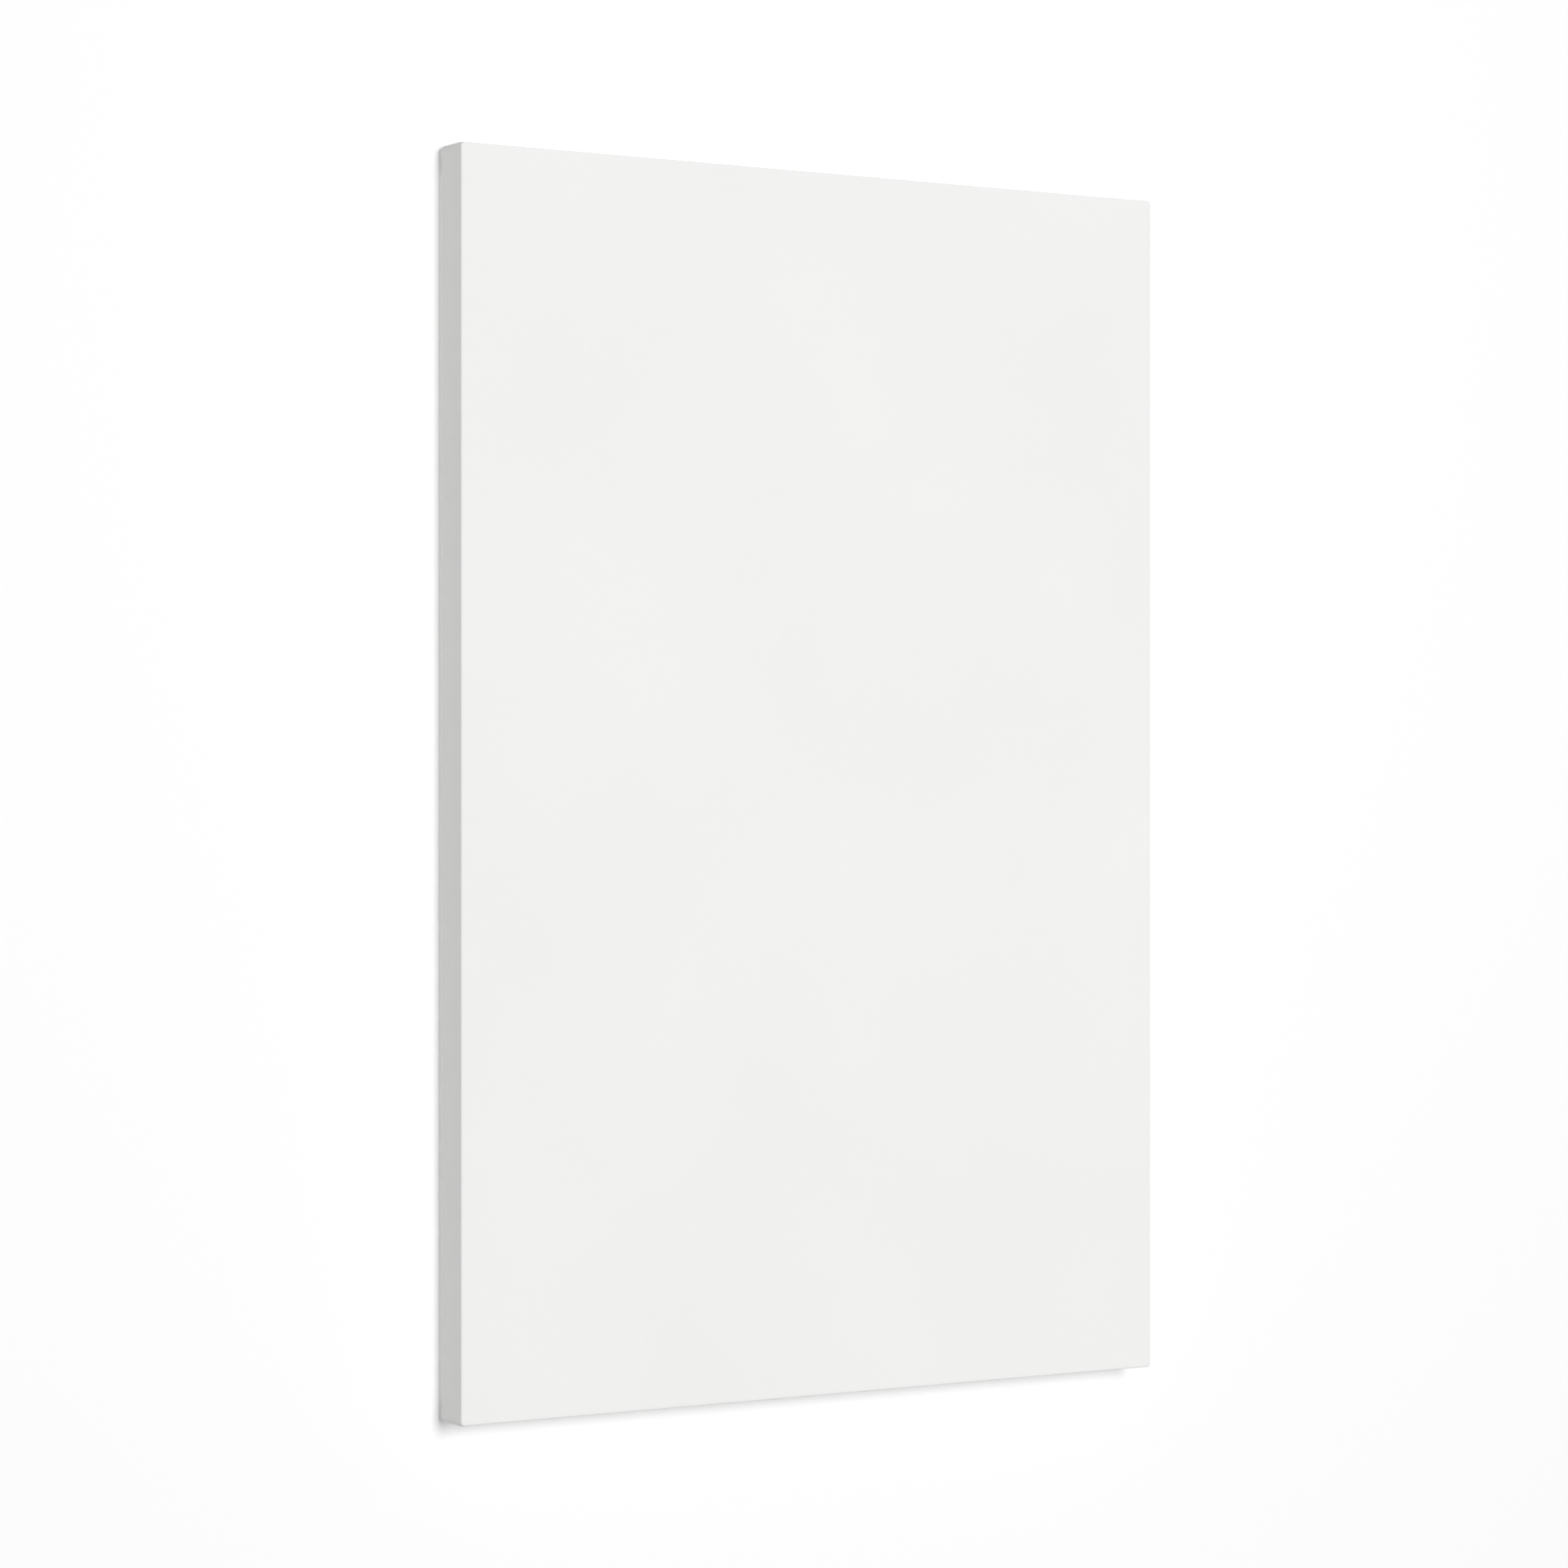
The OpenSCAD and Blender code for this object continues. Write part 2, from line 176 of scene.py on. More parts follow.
class Finish(Nodes):
    """A material under construction, with its Principled shader."""

    def __init__(self, name, **settings):
        self.material = bpy.data.materials.new(name)
        self.material.use_nodes = True
        super().__init__(self.material.node_tree)
        self.shader = self.tree.nodes["Principled BSDF"]
        for socket, value in settings.items():
            self.shader.inputs[socket.replace("_", " ")].default_value = value

    def maths(self, operation, *inputs):
        return self.add("ShaderNodeMath", *inputs, operation=operation).outputs[0]

    def vectors(self, operation, *inputs):
        return self.add("ShaderNodeVectorMath", *inputs, operation=operation).outputs[0]

    def where(self, source="Object"):
        return self.add("ShaderNodeTexCoord").outputs[source]

    def placed(self, vector, scale=(1, 1, 1), turn=(0, 0, 0), shift=(0, 0, 0)):
        node = self.add("ShaderNodeMapping")
        self.feed(node.inputs["Vector"], vector)
        node.inputs["Scale"].default_value = scale
        node.inputs["Rotation"].default_value = turn
        node.inputs["Location"].default_value = shift
        return node.outputs[0]

    def noise(self, vector, scale, detail=2.0, rough=0.5):
        node = self.add("ShaderNodeTexNoise")
        self.feed(node.inputs["Vector"], vector)
        node.inputs["Scale"].default_value = scale
        node.inputs["Detail"].default_value = detail
        node.inputs["Roughness"].default_value = rough
        return node.outputs["Fac"]

    def ramp(self, factor, *stops):
        node = self.add("ShaderNodeValToRGB", factor)
        ramp = node.color_ramp
        while len(ramp.elements) < len(stops):
            ramp.elements.new(0.5)
        for element, (place, colour) in zip(ramp.elements, stops):
            element.position = place
            element.color = (*colour, 1)
        return node.outputs[0]

    def span(self, value, low, high, to_low=0.0, to_high=1.0):
        node = self.add("ShaderNodeMapRange", value, low, high, to_low, to_high)
        return node.outputs[0]

    def mixed(self, factor, first, second):
        node = self.add("ShaderNodeMix", data_type="RGBA")
        self.feed(node.inputs["Factor"], factor)
        for socket, value in (("A", first), ("B", second)):
            target = next(s for s in node.inputs if s.name == socket and s.type == "RGBA")
            self.feed(target, (*value, 1) if isinstance(value, tuple) else value)
        return next(s for s in node.outputs if s.type == "RGBA")

    def colour(self, value):
        self.feed(self.shader.inputs["Base Color"], value)

    def rough(self, value):
        self.feed(self.shader.inputs["Roughness"], value)

    def bump(self, *layers):
        """Each layer is (height, how deep in metres, strength)."""
        normal = None
        for height, deep, strength in layers:
            node = self.add("ShaderNodeBump")
            node.inputs["Strength"].default_value = strength
            node.inputs["Distance"].default_value = deep
            self.feed(node.inputs["Height"], height)
            self.feed(node.inputs["Normal"], normal)
            normal = node.outputs[0]
        self.feed(self.shader.inputs["Normal"], normal)


def plain_weave(finish, vector):
    """Height of a plain weave: a thread rises over one crossing, dips under the next, and wavers a little."""
    drift = finish.add("ShaderNodeTexNoise")
    finish.feed(drift.inputs["Vector"], vector)
    drift.inputs["Scale"].default_value = WAVERS
    wander = finish.vectors("SCALE", finish.vectors("SUBTRACT", drift.outputs["Color"], (0.5, 0.5, 0.5)))
    wander.node.inputs["Scale"].default_value = WAVER
    across = finish.vectors("SCALE", finish.vectors("ADD", vector, wander))
    across.node.inputs["Scale"].default_value = 1 / YARN
    parts = finish.add("ShaderNodeSeparateXYZ", across)
    u, v = parts.outputs[0], parts.outputs[1]

    def thread(side, along, sign):
        body = finish.maths("ABSOLUTE", finish.maths("SINE", finish.maths("MULTIPLY", side, math.pi)))
        turns = finish.maths("ADD", finish.maths("SUBTRACT", along, 0.5), finish.maths("FLOOR", side))
        wave = finish.maths("COSINE", finish.maths("MULTIPLY", turns, math.pi))
        rise = finish.maths("MULTIPLY_ADD", wave, DIP * sign, 1 - DIP)
        return finish.maths("MULTIPLY", body, rise)

    return finish.maths("MAXIMUM", thread(u, v, 1), thread(v, u, -1))


def slubs(finish, vector):
    """Thick and thin threads: two sets of long streaks, one along each thread direction."""
    warp = finish.noise(finish.placed(vector, scale=(SLUBS_ACROSS, SLUBS_ALONG, 1)), 1.0, 1.0)
    beside = finish.placed(vector, scale=(SLUBS_ALONG, SLUBS_ACROSS, 1), shift=(3, 7, 0))
    weft = finish.noise(beside, 1.0, 1.0)
    return finish.maths("ADD", warp, weft)


def primed_cotton():
    finish = Finish("primed_cotton", Roughness=0.82, Specular_IOR_Level=0.28)
    flat = finish.where("UV")
    weave = plain_weave(finish, flat)
    slub = slubs(finish, flat)
    brushed = finish.noise(finish.placed(flat, scale=(40, 260, 1)), 1.0, 3.0)
    broad = finish.noise(flat, 5.0, 2.0)
    # painted shade: the primer is darker in the dips of the weave; the broad patches are its own uneven tone
    tone = finish.maths("MULTIPLY_ADD", broad, 0.3, finish.maths("MULTIPLY", weave, 0.7))
    finish.colour(finish.ramp(tone, (0.15, PRIMER_DEEP), (0.75, PRIMER_PALE)))
    finish.rough(finish.span(brushed, 0.3, 0.7, 0.76, 0.88))
    finish.bump((brushed, 0.05 * MM, 0.3), (slub, 0.07 * MM, 0.35), (weave, 0.1 * MM, 0.6))
    return finish.material


def raw_cotton():
    finish = Finish("raw_cotton", Roughness=0.95, Specular_IOR_Level=0.15)
    flat = finish.where("UV")
    weave = plain_weave(finish, flat)
    slub = slubs(finish, flat)
    broad = finish.noise(flat, 9.0, 3.0)
    fleck = finish.noise(finish.placed(flat, scale=(700, 260, 1)), 1.0, 2.0)
    cream = finish.ramp(broad, (0.3, CREAM_DEEP), (0.7, CREAM_PALE))
    # painted shade: the raw cotton is darkened in the gaps between its threads
    gaps = finish.mixed(finish.span(weave, 0.1, 0.75), WEAVE_GAP_SHADE, cream)
    finish.colour(finish.mixed(finish.span(fleck, 0.75, 0.79), gaps, SEED_HUSK))
    finish.bump((slub, 0.1 * MM, 0.5), (weave, 0.15 * MM, 0.7))
    return finish.material


def along_grain(finish, node, upright):
    """Object coordinates turned so that x runs along a piece of the frame, from the middle of its section."""
    low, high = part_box(node)
    middle = (low + high) / 2
    if upright:
        return finish.placed(finish.where(), turn=(0, math.pi / 2, 0), shift=(0, -middle.y, middle.x))
    return finish.placed(finish.where(), shift=(0, -middle.y, -middle.z))


def mitre_shadow_line(finish):
    """1 on the hairline where two bars meet at a corner, where the joint's shadow is painted, 0 elsewhere."""
    parts = finish.add("ShaderNodeSeparateXYZ", finish.where())
    across, up = (finish.maths("ABSOLUTE", parts.outputs[i]) for i in (0, 2))
    beside = finish.maths("SUBTRACT", up, across)
    aside = finish.maths("ABSOLUTE", finish.maths("ADD", beside, (WIDTH - HEIGHT) / 2))
    return finish.span(aside, MITRE_SHADOW_CORE, MITRE_SHADOW_FADE, 1.0, 0.0)


def pine(node, upright, number, heart, ring):
    """Sawn softwood: heart is where the tree's centre lay beside the section, ring a year's growth."""
    finish = Finish("pine_" + node, Roughness=0.62, Specular_IOR_Level=0.3)
    along = finish.placed(along_grain(finish, node, upright), shift=(BAR_SHIFT * number, 0, 0))
    sway = finish.noise(finish.placed(along, scale=(2.6, 16, 16)), 1.0, 3.0)
    leaned = finish.placed(along, turn=(0, 0.014, -0.02), scale=(0, 1, 1), shift=(0, *heart))
    radius = finish.add("ShaderNodeVectorMath", leaned, operation="LENGTH").outputs["Value"]
    uneven = finish.noise(finish.placed(leaned, scale=(0, 55, 55)), 1.0, 1.0)
    years = finish.maths("ADD", finish.maths("DIVIDE", radius, ring), finish.maths("MULTIPLY", sway, 6.0))
    years = finish.maths("MULTIPLY_ADD", uneven, 1.6, years)
    year = finish.maths("FRACT", years)
    growth = ((0.0, 0.03), (0.5, 0.2), (0.86, 0.95), (0.95, 0.06))  # slowly darker, then pale again at once
    late = finish.ramp(year, *((part, (dark,) * 3) for part, dark in growth))
    fibre = finish.noise(finish.placed(along, scale=(18, 900, 900)), 1.0, 3.0, 0.6)
    broad = finish.noise(finish.placed(along, scale=(3, 30, 30)), 1.0, 2.0)
    tone = finish.maths("ADD", finish.maths("MULTIPLY", late, 0.55), finish.maths("MULTIPLY", fibre, 0.45))
    shade = 1 - 0.035 * (number % 3)
    pale, dark, warm = (tuple(shade * c for c in tint) for tint in (PINE_PALE, PINE_DARK, PINE_WARM))
    grain = finish.mixed(finish.span(tone, 0.12, 0.95), pale, dark)
    sawn = finish.mixed(finish.span(broad, 0.4, 0.75, 0.0, 0.6), grain, warm)
    # painted shadow: the wood is darkened along each mitre's hairline, as shade in the joint
    finish.colour(finish.mixed(mitre_shadow_line(finish), sawn, tuple(0.45 * c for c in dark)))
    finish.rough(finish.span(fibre, 0.3, 0.7, 0.52, 0.72))
    finish.bump((late, 0.015 * MM, 0.3), (fibre, 0.07 * MM, 0.45))
    return finish.material


def beech(node, upright):
    """Beech, pale brown with short dark flecks along the grain."""
    finish = Finish("beech_" + node, Roughness=0.55, Specular_IOR_Level=0.32)
    along = along_grain(finish, node, upright)
    grain = finish.noise(finish.placed(along, scale=(25, 420, 420)), 1.0, 3.0, 0.6)
    flecks = finish.noise(finish.placed(along, scale=(420, 3000, 3000)), 1.0, 1.0)
    base = finish.ramp(grain, (0.3, BEECH_DEEP), (0.7, BEECH_PALE))
    finish.colour(finish.mixed(finish.span(flecks, 0.6, 0.72, 0.0, 0.7), base, BEECH_FLECK))
    finish.rough(finish.span(grain, 0.3, 0.7, 0.48, 0.66))
    finish.bump((grain, 0.05 * MM, 0.4))
    return finish.material


def plated_steel(name, tint, smoothest, roughest):
    """Zinc-plated steel: bright, with cloudy roughness and fine rubbing marks."""
    finish = Finish(name, Metallic=1.0)
    at = finish.where()
    cloud = finish.noise(at, 320.0, 3.0)
    rubbed = finish.noise(finish.placed(at, scale=(5000, 5000, 260)), 1.0, 2.0)
    finish.colour(finish.mixed(finish.span(cloud, 0.3, 0.7), tuple(0.86 * c for c in tint), tint))
    finish.rough(finish.span(finish.maths("ADD", cloud, rubbed), 0.7, 1.3, smoothest, roughest))
    finish.bump((rubbed, 0.01 * MM, 0.3))
    return finish.material


def bumper_rubber():
    finish = Finish("bumper_rubber", Roughness=0.6, Specular_IOR_Level=0.4)
    at = finish.where()
    dust = finish.noise(at, 900.0, 3.0)
    finish.colour(finish.ramp(dust, (0.35, RUBBER_BLACK), (0.8, RUBBER_DUSTY)))
    finish.rough(finish.span(dust, 0.3, 0.7, 0.5, 0.72))
    finish.bump((dust, 0.03 * MM, 0.4))
    return finish.material


def repaint(node, material):
    """Gives a piece of the frame its finish."""
    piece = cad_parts[node]
    piece.data.materials.clear()
    piece.data.materials.append(material)


def merged_copy(node):
    """A piece of the frame as one closed mesh, with its flat surfaces each made one face again."""
    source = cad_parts[node]
    mesh = bmesh.new()
    mesh.from_mesh(source.data)
    mesh.transform(source.matrix_world)
    bmesh.ops.remove_doubles(mesh, verts=mesh.verts, dist=SAME_SPOT)
    flat = [e for e in mesh.edges if len(e.link_faces) == 2 and e.calc_face_angle() < SAME_PLANE]
    bmesh.ops.dissolve_edges(mesh, edges=flat, use_verts=True)
    for layer_name in list(mesh.loops.layers.uv.keys()):
        mesh.loops.layers.uv.remove(mesh.loops.layers.uv[layer_name])
    return mesh


EASED_FROM = math.radians(38)  # an edge sharper than this is eased
CREASED_FROM = math.radians(32)  # an edge sharper than this still shades as an edge


def eased(node, body, width, material):
    """Stands in for a piece of the frame: the same shape with its sharp edges slightly rounded."""
    sharp = finished(merged_copy(node), node + "_sharp", material)
    bevel = sharp.modifiers.new("bevel", "BEVEL")
    bevel.width = width
    bevel.segments = 2
    bevel.limit_method = "ANGLE"
    bevel.angle_limit = EASED_FROM
    bevel.miter_outer = "MITER_ARC"
    piece = settled(sharp, node + "_eased")
    piece.data.set_sharp_from_angle(angle=CREASED_FROM)
    fit(piece, body, node)


# ---- The cloth ----

ALONG = [Vector((1, 0, 0)), Vector((0, 0, 1)), Vector((-1, 0, 0)), Vector((0, 0, -1))]
INWARD = [Vector((0, 0, 1)), Vector((-1, 0, 0)), Vector((0, 0, -1)), Vector((1, 0, 0))]
BACKWARD = Vector((0, 1, 0))
ARC_STEPS = 5  # round a wrapped corner
TURN_STEPS = 4  # round the edge of the painting face, and round the edge of the back
RISE = 6 * MM  # how far back from the painting face a fold reaches its full thickness
DRAWN_IN = 0.35  # how far the cloth beside a fold is drawn in, in thicknesses of the fold
BESIDE = 1.6 * STEP  # how wide that strip is
TAUT = 0.6  # how much of the turned-over cloth lies flat before it puckers towards its cut edge
PUCKER = 0.13 * MM  # half the height of the largest pucker
INSIDE_PITCH = 30 * MM  # spacing of the mesh on the back of the painting face
STAPLE_PITCH = 46 * MM
FOLD_EDGE = math.radians(26)  # an edge in the cloth sharper than this shades as a fold


def half_span(side):
    """Half the length of a side. Sides 0 to 3 are the bottom, right, top and left."""
    return (WIDTH if side % 2 == 0 else HEIGHT) / 2


def reach(side):
    """From the middle of the face out to a side."""
    return half_span(side + 1)


def smooth(x):
    x = min(max(x, 0.0), 1.0)
    return x * x * (3 - 2 * x)


def stations(side):
    """Places along a side, close together near its ends, where the cloth is folded."""
    end = half_span(side) - CORNER_R
    fine = [end - i * STEP for i in range(round(FINE / STEP) + 1)]
    inner = fine[-1]
    parts = round(2 * inner / COARSE)
    middle = [inner - 2 * inner * i / parts for i in range(1, parts)]
    return [-x for x in fine] + [-x for x in middle] + fine[::-1]


class Column:
    """One line of the wrapped cloth, from the painting face over the edge to the cut edge behind.

    arc is 0 along a side, and part of the way round the corner at its end elsewhere. flap is 1 where the
    corner's fold lies in full, at the top and bottom, and fades to 0 at the upright sides.
    """

    def __init__(self, side, place, arc=0.0):
        self.side, self.place, self.arc = side, place, arc
        turn = arc * math.pi / 2
        self.out = ALONG[side] * math.sin(turn) - INWARD[side] * math.cos(turn)
        self.flap = smooth(1 - arc if side % 2 == 0 else arc)

    def at(self, inset):
        side = self.side
        end = half_span(side)
        if not self.arc:
            limit = end - max(inset, CORNER_R)
            along = min(max(self.place, -limit), limit)
            return ALONG[side] * along + INWARD[side] * (inset - reach(side))
        if inset >= CORNER_R:
            return ALONG[side] * (end - inset) + INWARD[side] * (inset - reach(side))
        centre = ALONG[side] * (end - CORNER_R) + INWARD[side] * (CORNER_R - reach(side))
        return centre + self.out * (CORNER_R - inset)

    def from_corner(self, inset):
        if self.arc:
            return 0.0
        return half_span(self.side) - min(abs(self.place), half_span(self.side) - max(inset, CORNER_R))


def columns():
    for side in range(4):
        for place in stations(side):
            yield Column(side, place)
        for i in range(1, ARC_STEPS):
            yield Column(side, 0.0, i / ARC_STEPS)


def layer(distance, edge, thick):
    """Height of a folded layer that ends at an edge, with the cloth beyond drawn in beside it."""
    if distance <= edge + 0.1 * STEP:
        return thick
    return -DRAWN_IN * thick if distance <= edge + BESIDE else 0.0


class Ring:
    """One line round the cloth: how far in from the outline, and how deep.

    turn is the angle from sideways to backwards at which a fold stands out, and None where no fold lies.
    travel is the length of cloth between the edge of the painting face and the ring.
    """

    def __init__(self, inset, y, turn=None, travel=0.0, back=False):
        self.inset, self.y, self.turn, self.travel, self.back = inset, y, turn, travel, back

    def lift(self, column):
        near = column.from_corner(self.inset)
        deep = self.y - FACE_Y
        if self.back and column.arc:
            return FOLD_LIFT
        if self.back:
            slant = FLAP - self.inset if column.side % 2 == 0 else 0.0
            return layer(near, max(TURNED, slant), FOLD_LIFT) + self.pucker(column, near)
        if self.turn is None or deep < FRONT_R:
            return 0.0
        if column.arc:
            return FOLD_LIFT * column.flap * smooth(deep / RISE)
        if column.side % 2:
            return 0.0
        return layer(near, deep, FOLD_LIFT) * smooth(deep / RISE)

    def pucker(self, column, near):
        """The turned-over cloth waves a little between the staples, towards its cut edge."""
        loose = smooth((self.inset / TURNED - TAUT) / (1 - TAUT))
        turn = math.tau * column.place / STAPLE_PITCH
        second = 0.6  # height of a quicker wave that makes each pucker a little different
        wave = math.sin(turn) + second * math.sin(2.3 * turn + column.side)
        return PUCKER * loose * smooth((near - FLAP) / FLAP) * (1 + wave / (1 + second))

    def point(self, column):
        place = column.at(self.inset) + BACKWARD * self.y
        if self.turn is None:
            return place
        outward = column.out * math.cos(self.turn) + BACKWARD * math.sin(self.turn)
        return place + outward * self.lift(column)

    def flat(self, column):
        """Where this point of the cloth lay before it was stretched."""
        spot = column.at(self.inset if self.turn is None else 0.0)
        return spot + column.out * self.travel


def outer_rings():
    """The side of the cloth that shows, from the painting face over the edge to the cut edge."""
    rings = [Ring(CORNER_R, FACE_Y)]
    for i in range(TURN_STEPS + 1):
        a = i / TURN_STEPS * math.pi / 2
        inset = FRONT_R * (1 - math.sin(a))
        y = FACE_Y + FRONT_R * (1 - math.cos(a))
        rings.append(Ring(inset, y, 0.0 if i == TURN_STEPS else None))
    deep = 2 * STEP
    while deep < DEPTH - BACK_R - 0.2 * STEP:
        rings.append(Ring(0.0, FACE_Y + deep, 0.0, deep))
        deep += STEP
    for i in range(TURN_STEPS + 1):
        a = i / TURN_STEPS * math.pi / 2
        inset = BACK_R * (1 - math.cos(a))
        y = CLOTH_BACK - BACK_R * (1 - math.sin(a))
        rings.append(Ring(inset, y, a, DEPTH - BACK_R * (1 - a), back=i == TURN_STEPS))
    inset = CORNER_R
    while inset < TURNED + 0.2 * STEP:
        rings.append(Ring(inset, CLOTH_BACK, math.pi / 2, DEPTH + inset, back=True))
        inset += STEP
    return rings


def under_rings():
    """The side of the cloth that lies on the wood, from its cut edge round to the inside of the face."""
    yield Ring(TURNED, WOOD_BACK)
    yield Ring(CLOTH_T, WOOD_BACK)
    yield Ring(CLOTH_T, FACE_Y + CLOTH_T)


PRIMED, RAW = 0, 1  # the cloth's two materials


class Wrap:
    """The mesh of the wrapped cloth. flat is where each point lay before, lift how far a fold raises it."""

    def __init__(self):
        self.mesh = bmesh.new()
        self.columns = list(columns())
        self.flat, self.lift = {}, {}

    def add(self, place, flat, lift=0.0):
        vert = self.mesh.verts.new(place)
        self.flat[vert], self.lift[vert] = Vector(flat), lift
        return vert

    def ring(self, ring):
        return [self.add(ring.point(c), ring.flat(c), ring.lift(c)) for c in self.columns]

    def strip(self, rings, slot):
        for first, second in zip(rings, rings[1:]):
            for i in range(len(first)):
                j = (i + 1) % len(first)
                self.patch(first[i], first[j], second[j], second[i], slot)

    def patch(self, a, b, c, d, slot):
        """Fills a square, cut in two where the edge of a fold runs slantwise across it."""
        rise = abs(self.lift[a] - self.lift[c])
        fall = abs(self.lift[b] - self.lift[d])
        level = 0.05 * MM  # a difference smaller than this is no slant
        halves = [(a, b, c, d)]
        if rise < fall - level:
            halves = [(a, b, c), (a, c, d)]
        elif fall < rise - level:
            halves = [(a, b, d), (b, c, d)]
        for corners in halves:
            self.mesh.faces.new(corners).material_index = slot

    def painting_face(self):
        xs, zs = stations(0), stations(1)
        rows = [[self.add((x, FACE_Y, z), (x, FACE_Y, z)) for x in xs] for z in zs]
        for low, high in zip(rows, rows[1:]):
            for i in range(len(xs) - 1):
                self.mesh.faces.new((low[i], low[i + 1], high[i + 1], high[i]))

    def inside(self, outline):
        """Fills the back of the painting face, within its outline, with even triangles."""
        y = FACE_Y + CLOTH_T
        spots = [Vector((v.co.x, v.co.z)) for v in outline]
        edges = [(i, (i + 1) % len(spots)) for i in range(len(spots))]
        columns_inside, rows_inside = round(WIDTH / INSIDE_PITCH), round(HEIGHT / INSIDE_PITCH)
        for i in range(1, columns_inside):
            for j in range(1, rows_inside):
                spots.append(Vector((WIDTH * (i / columns_inside - 0.5), HEIGHT * (j / rows_inside - 0.5))))
        points, _, triangles, *_ = delaunay_2d_cdt(spots, edges, [], 1, SAME_SPOT)
        verts = [self.add((p.x, y, p.y), (p.x, y, p.y)) for p in points]
        for triangle in triangles:
            self.mesh.faces.new([verts[i] for i in triangle]).material_index = RAW

    def lay_out(self):
        """Gives the mesh its UV map: the cloth laid flat, in metres."""
        paint = self.mesh.loops.layers.uv.new("cloth")
        for face in self.mesh.faces:
            for loop in face.loops:
                spot = self.flat[loop.vert]
                loop[paint].uv = (spot.x, spot.z)


def make_cloth():
    """The whole cloth: painting face, edges and turned-over strips, with its bare side on the wood."""
    wrap = Wrap()
    outer = [wrap.ring(ring) for ring in outer_rings()]
    under = [wrap.ring(ring) for ring in under_rings()]
    wrap.strip(outer, PRIMED)
    wrap.strip([outer[-1], *under], RAW)
    wrap.painting_face()
    wrap.inside(under[-1])
    wrap.lay_out()
    mesh = wrap.mesh
    bmesh.ops.remove_doubles(mesh, verts=mesh.verts, dist=SEWN)
    bmesh.ops.dissolve_degenerate(mesh, dist=SAME_SPOT, edges=mesh.edges)
    bmesh.ops.recalc_face_normals(mesh, faces=mesh.faces)
    for face in mesh.faces:
        face.smooth = True
    piece = finished(mesh, "canvas_cloth", primed_cotton(), raw_cotton())
    piece.data.set_sharp_from_angle(angle=FOLD_EDGE)
    return piece


# ---- Staples and frayed threads ----


class Repeater(Nodes):
    """A Geometry Nodes tree that sets small shapes along a guide, and ends in one real mesh."""

    def __init__(self, name):
        super().__init__(bpy.data.node_groups.new(name, "GeometryNodeTree"))
        self.tree.interface.new_socket("Guide", in_out="INPUT", socket_type="NodeSocketGeometry")
        self.tree.interface.new_socket("Pieces", in_out="OUTPUT", socket_type="NodeSocketGeometry")
        self.inlet = self.tree.nodes.new("NodeGroupInput")
        self.values = {}
        self.guide = self.inlet.outputs["Guide"]

    def ask(self, name, kind, value):
        """Adds a named input and keeps the value that the modifier will give it."""
        socket = self.tree.interface.new_socket(name, in_out="INPUT", socket_type="NodeSocket" + kind)
        self.values[socket.identifier] = value
        return self.inlet.outputs[name]

    def shape(self, name, piece):
        info = self.add("GeometryNodeObjectInfo", self.ask(name, "Object", piece))
        info.inputs["As Instance"].default_value = True
        return info.outputs["Geometry"]

    def random(self, kind, low, high, seed):
        node = self.add("FunctionNodeRandomValue", data_type=kind)
        for name, value in (("Min", low), ("Max", high), ("Seed", seed)):
            self.feed(next(s for s in node.inputs if s.enabled and s.name == name), value)
        return next(s for s in node.outputs if s.enabled)

    def place(self, points, shape, rotation, scale=None, pick=False):
        node = self.add("GeometryNodeInstanceOnPoints")
        node.inputs["Pick Instance"].default_value = pick
        given = {"Points": points, "Instance": shape, "Rotation": rotation, "Scale": scale}
        for name, value in given.items():
            self.feed(node.inputs[name], value)
        real = self.add("GeometryNodeRealizeInstances", node.outputs["Instances"])
        painted = self.add("GeometryNodeSetMaterial", real.outputs[0])
        self.feed(painted.inputs["Material"], self.ask("Material", "Material", None))
        outlet = self.tree.nodes.new("NodeGroupOutput")
        self.feed(outlet.inputs["Pieces"], painted.outputs[0])

    def run(self, name, guide, material, shapes):
        """Grows the pieces on the guide and returns them as one plain mesh."""
        modifier = guide.modifiers.new(name, "NODES")
        modifier.node_group = self.tree
        for identifier, value in self.values.items():
            modifier[identifier] = material if value is None else value
        return settled(guide, name, *shapes)


SQUARENESS = 0.6  # of a wire's section: 0 is round, 1 is square


def wire_along(name, path, across, wide, thick, corners):
    """A closed wire along a path, flattened across it: a rounded section of the given number of corners."""
    mesh = bmesh.new()
    loops = []
    for i, point in enumerate(path):
        ahead = path[min(i + 1, len(path) - 1)] - path[max(i - 1, 0)]
        normal = across.cross(ahead).normalized()
        ring = []
        for k in range(corners):
            a = (k + 0.5) / corners * math.tau
            square = max(abs(math.cos(a)), abs(math.sin(a))) ** SQUARENESS
            aside = across * (wide / 2 * math.cos(a) / square)
            ring.append(mesh.verts.new(point + aside + normal * (thick / 2 * math.sin(a) / square)))
        loops.append(ring)
    for first, second in zip(loops, loops[1:]):
        for k in range(corners):
            j = (k + 1) % corners
            mesh.faces.new((first[k], first[j], second[j], second[k]))
    mesh.faces.new(loops[0])
    mesh.faces.new(loops[-1])
    bmesh.ops.recalc_face_normals(mesh, faces=mesh.faces)
    return finished(mesh, name)


STAPLE_END = 34 * MM  # from the end of the wood to the first staple
STAPLE_IN = 12 * MM  # from the edge of the cloth to the row of staples
STAPLE_TALL = staple_high.y - staple_low.y
STAPLE_W = 11 * MM
WIRE_W, WIRE_T = 1.2 * MM, 0.6 * MM
BEND_STEPS = 3
CROWN_BOW = 0.05 * MM
CROOKED = math.radians(3)  # the most that a staple is turned out of line


